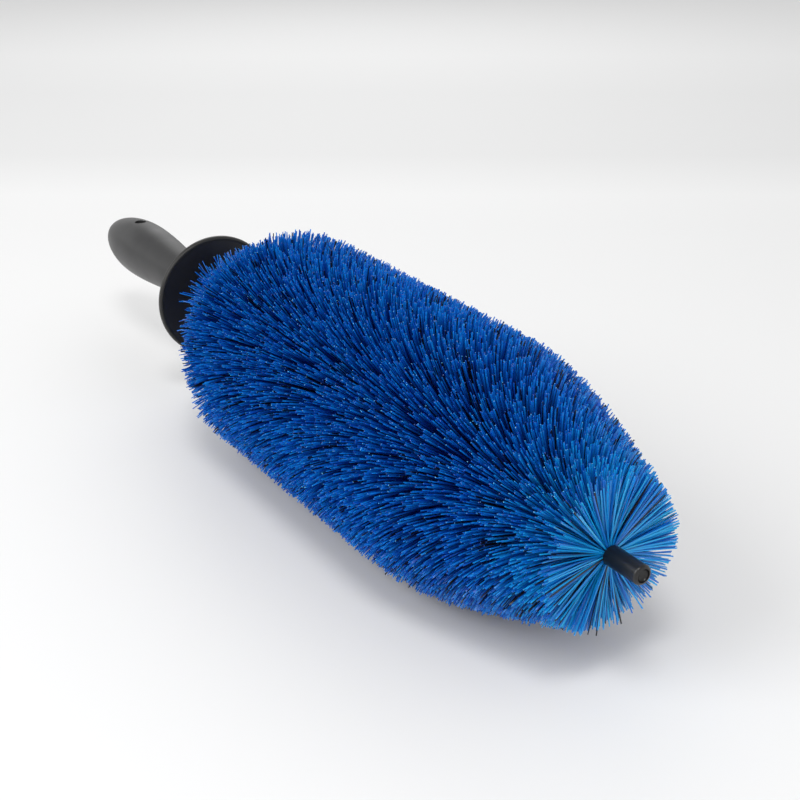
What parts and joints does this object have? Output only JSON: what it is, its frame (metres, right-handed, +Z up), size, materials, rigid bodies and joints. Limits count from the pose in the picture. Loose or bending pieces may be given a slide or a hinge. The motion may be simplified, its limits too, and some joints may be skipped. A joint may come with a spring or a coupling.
{
  "type": "wheel brush",
  "caption": "Flexible wheel brush: a barrel of blue radial bristles on a twisted wire stem, with a round splash guard, a black egg-shaped handle and a soft tip cap.",
  "frame": {"origin": "on the surface the brush lies on, under the middle of its whole length", "axes": "+X along the stem from the handle to the tip, +Z up, the stem's axis level at Z 0.0502 m"},
  "size_m": [0.4516, 0.106, 0.1032],
  "materials": {
    "handle": "satin",
    "guard": "satin",
    "cap": "satin",
    "steel": "satin",
    "bristle": "satin"
  },
  "bodies": {
    "handle_body": {"handle": "handle", "splash_guard": "guard", "wire_ferrule": "steel", "wire_root_a": "steel", "wire_root_b": "steel"},
    "stem_link_1": {"wire_a_1": "steel", "wire_b_1": "steel", "bristles_1": "bristle"},
    "stem_link_2": {"wire_a_2": "steel", "wire_b_2": "steel", "bristles_2": "bristle"},
    "stem_link_3": {"wire_a_3": "steel", "wire_b_3": "steel", "bristles_3": "bristle"},
    "stem_link_4": {"wire_a_4": "steel", "wire_b_4": "steel", "bristles_4": "bristle"},
    "stem_link_5": {"wire_a_5": "steel", "wire_b_5": "steel", "bristles_5": "bristle"},
    "stem_link_6": {"wire_a_6": "steel", "wire_b_6": "steel", "bristles_6": "bristle"},
    "stem_link_7": {"wire_a_7": "steel", "wire_b_7": "steel", "bristles_7": "bristle"},
    "stem_link_8": {"wire_a_8": "steel", "wire_b_8": "steel", "bristles_8": "bristle", "tip_cap": "cap"}
  },
  "joints": [
    {"name": "stem_lift_1", "type": "hinge", "parent": "handle_body", "child": "stem_link_1", "pos_m": [-0.091, 0, 0.0502], "axis": [0, -0.9994, -0.0349], "range_deg": [-7, 7], "stiffness_Nm_per_rad": 3},
    {"name": "stem_swing_1", "type": "hinge", "parent": "stem_link_1", "child": "stem_link_2", "pos_m": [-0.05087, 0, 0.0502], "axis": [0, -0.0349, 0.9994], "range_deg": [-7, 7], "stiffness_Nm_per_rad": 3},
    {"name": "stem_lift_2", "type": "hinge", "parent": "stem_link_2", "child": "stem_link_3", "pos_m": [-0.01375, 0, 0.0502], "axis": [0, -0.9994, -0.0349], "range_deg": [-7, 7], "stiffness_Nm_per_rad": 3},
    {"name": "stem_swing_2", "type": "hinge", "parent": "stem_link_3", "child": "stem_link_4", "pos_m": [0.02337, 0, 0.0502], "axis": [0, -0.0349, 0.9994], "range_deg": [-7, 7], "stiffness_Nm_per_rad": 3},
    {"name": "stem_lift_3", "type": "hinge", "parent": "stem_link_4", "child": "stem_link_5", "pos_m": [0.0605, 0, 0.0502], "axis": [0, -0.9994, -0.0349], "range_deg": [-7, 7], "stiffness_Nm_per_rad": 3},
    {"name": "stem_swing_3", "type": "hinge", "parent": "stem_link_5", "child": "stem_link_6", "pos_m": [0.09763, 0, 0.0502], "axis": [0, -0.0349, 0.9994], "range_deg": [-7, 7], "stiffness_Nm_per_rad": 3},
    {"name": "stem_lift_4", "type": "hinge", "parent": "stem_link_6", "child": "stem_link_7", "pos_m": [0.13475, 0, 0.0502], "axis": [0, -0.9994, -0.0349], "range_deg": [-7, 7], "stiffness_Nm_per_rad": 3},
    {"name": "stem_swing_4", "type": "hinge", "parent": "stem_link_7", "child": "stem_link_8", "pos_m": [0.17188, 0, 0.0502], "axis": [0, -0.0349, 0.9994], "range_deg": [-7, 7], "stiffness_Nm_per_rad": 3}
  ],
  "couplings": [
    {"joint": "stem_lift_2", "follows": "stem_lift_1", "ratio": 1},
    {"joint": "stem_swing_2", "follows": "stem_swing_1", "ratio": 1},
    {"joint": "stem_lift_3", "follows": "stem_lift_1", "ratio": 1},
    {"joint": "stem_swing_3", "follows": "stem_swing_1", "ratio": 1},
    {"joint": "stem_lift_4", "follows": "stem_lift_1", "ratio": 1},
    {"joint": "stem_swing_4", "follows": "stem_swing_1", "ratio": 1}
  ]
}
